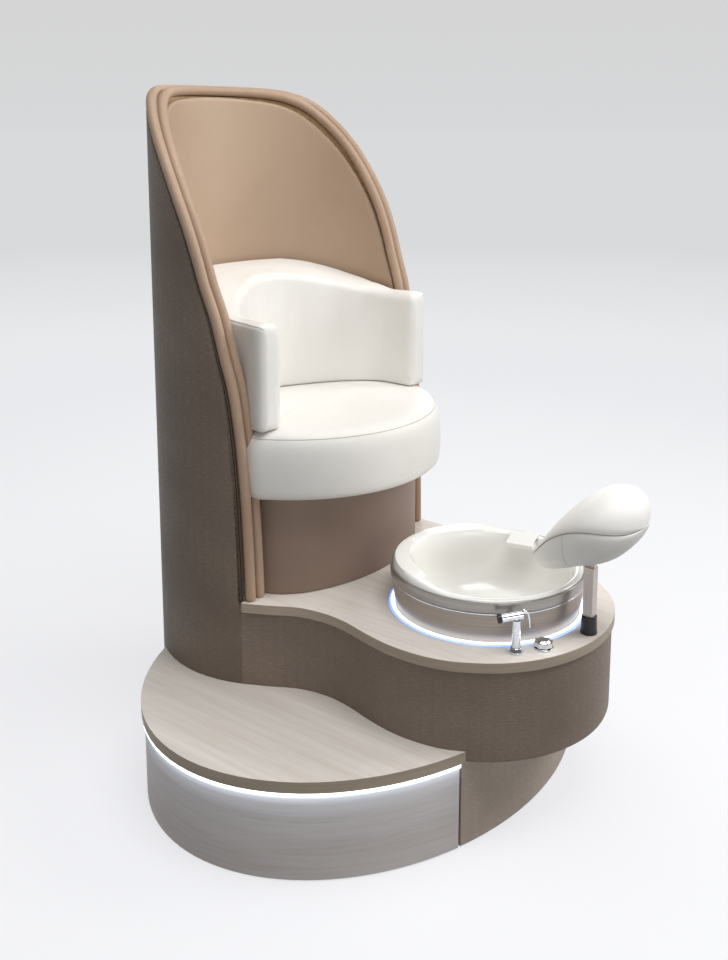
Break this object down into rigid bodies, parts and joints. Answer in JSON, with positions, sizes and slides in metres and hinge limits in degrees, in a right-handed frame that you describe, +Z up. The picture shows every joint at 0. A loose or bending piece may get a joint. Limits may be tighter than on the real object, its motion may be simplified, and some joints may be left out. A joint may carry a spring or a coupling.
{
  "type": "pedicure spa chair",
  "caption": "Hooded pedicure spa chair: tall wrap-around hood with seat, platform with round lit foot basin, sprayer, mixer knob, swivelling tilting footrest and side step.",
  "frame": {"origin": "on the floor, at the bottom face of the centre levelling foot, under the centre of the hood's oval plan", "axes": "+Z up; the chair faces -Y; the step is on the sitter's right at -X"},
  "size_m": [1.104, 1.3694, 1.7282],
  "materials": {
    "vinyl": "embossed matt",
    "tan_leather": "soft matt",
    "roll_leather": "soft satin",
    "white_leather": "soft satin",
    "wood_veneer": "washed satin",
    "riser_laminate": "washed satin",
    "plywood": "raw",
    "led": "diffuser",
    "steel": "brushed",
    "taupe_metal": "brushed satin",
    "satin_band": "satin",
    "ceramic": "gloss",
    "chrome": "polished",
    "black_plastic": "satin",
    "aluminium": "brushed",
    "grey_plastic": "matt",
    "rubber": "matt"
  },
  "bodies": {
    "root": {"back_board": "plywood", "back_cushion": "white_leather", "base_board": "plywood", "basin_bowl": "ceramic", "basin_housing": "taupe_metal", "basin_led_ring": "led", "basin_rim_band": "satin_band", "basin_trim_ring": "chrome", "carcass_cross_front": "plywood", "carcass_cross_rear": "plywood", "carcass_side_left": "plywood", "carcass_side_right": "plywood", "deck": "wood_veneer", "drain_flange": "chrome", "drain_hose": "grey_plastic", "drain_pump": "grey_plastic", "drain_tailpiece": "grey_plastic", "foot_center": "rubber", "foot_front_left": "rubber", "foot_front_right": "rubber", "foot_rear_left": "rubber", "foot_rear_right": "rubber", "foot_step_front": "rubber", "foot_step_rear": "rubber", "foot_step_side": "rubber", "footrest_boot": "black_plastic", "hood_core": "plywood", "hood_liner": "tan_leather", "hood_roll_inner": "roll_leather", "hood_roll_outer": "roll_leather", "hood_skin": "vinyl", "knob_escutcheon": "chrome", "led_driver": "grey_plastic", "mixer_valve": "steel", "overhang_shelf": "plywood", "platform_skirt": "vinyl", "plinth_skirt": "vinyl", "power_supply": "grey_plastic", "seat_base_panel": "tan_leather", "seat_board": "plywood", "seat_cushion": "white_leather", "seat_frame": "steel", "spout_cover": "ceramic", "sprayer_dock": "chrome", "step_base": "plywood", "step_led_strip": "led", "step_rib_front": "plywood", "step_rib_middle": "plywood", "step_rib_rear": "plywood", "step_riser": "riser_laminate", "step_tread": "wood_veneer"},
    "sprayer": {"sprayer_body": "chrome", "sprayer_nozzle": "black_plastic"},
    "trigger": {"sprayer_trigger": "chrome"},
    "knob": {"mixer_knob": "chrome"},
    "stopper": {"drain_stopper": "chrome"},
    "footrest_arm": {"footrest_post": "aluminium", "footrest_tilt_pin": "steel"},
    "footrest_head": {"footrest_bracket": "steel", "footrest_pad": "white_leather"}
  },
  "joints": [
    {"name": "footrest_swivel", "type": "hinge", "parent": "root", "child": "footrest_arm", "pos_m": [0, -0.887, 0.48], "axis": [0, 0, 1], "range_deg": [-80, 80]},
    {"name": "footrest_tilt", "type": "hinge", "parent": "footrest_arm", "child": "footrest_head", "pos_m": [0, -0.887, 0.648], "axis": [1, 0, 0], "range_deg": [-5, 25]},
    {"name": "sprayer_lift", "type": "slide", "parent": "root", "child": "sprayer", "axis": [0, 0, 1], "range_m": [0, 0.25]},
    {"name": "trigger_squeeze", "type": "hinge", "parent": "sprayer", "child": "trigger", "pos_m": [-0.17605, -0.81409, 0.556], "axis": [0.7111, 0.7031, 0], "range_deg": [0, 12], "stiffness_Nm_per_rad": 0.3, "springref_deg": -5.73},
    {"name": "knob_turn", "type": "hinge", "parent": "root", "child": "knob", "pos_m": [-0.132, -0.841, 0.47], "axis": [0, 0, 1], "range_deg": [-90, 90]},
    {"name": "stopper_lift", "type": "slide", "parent": "root", "child": "stopper", "axis": [0, 0, 1], "range_m": [0, 0.02]}
  ]
}
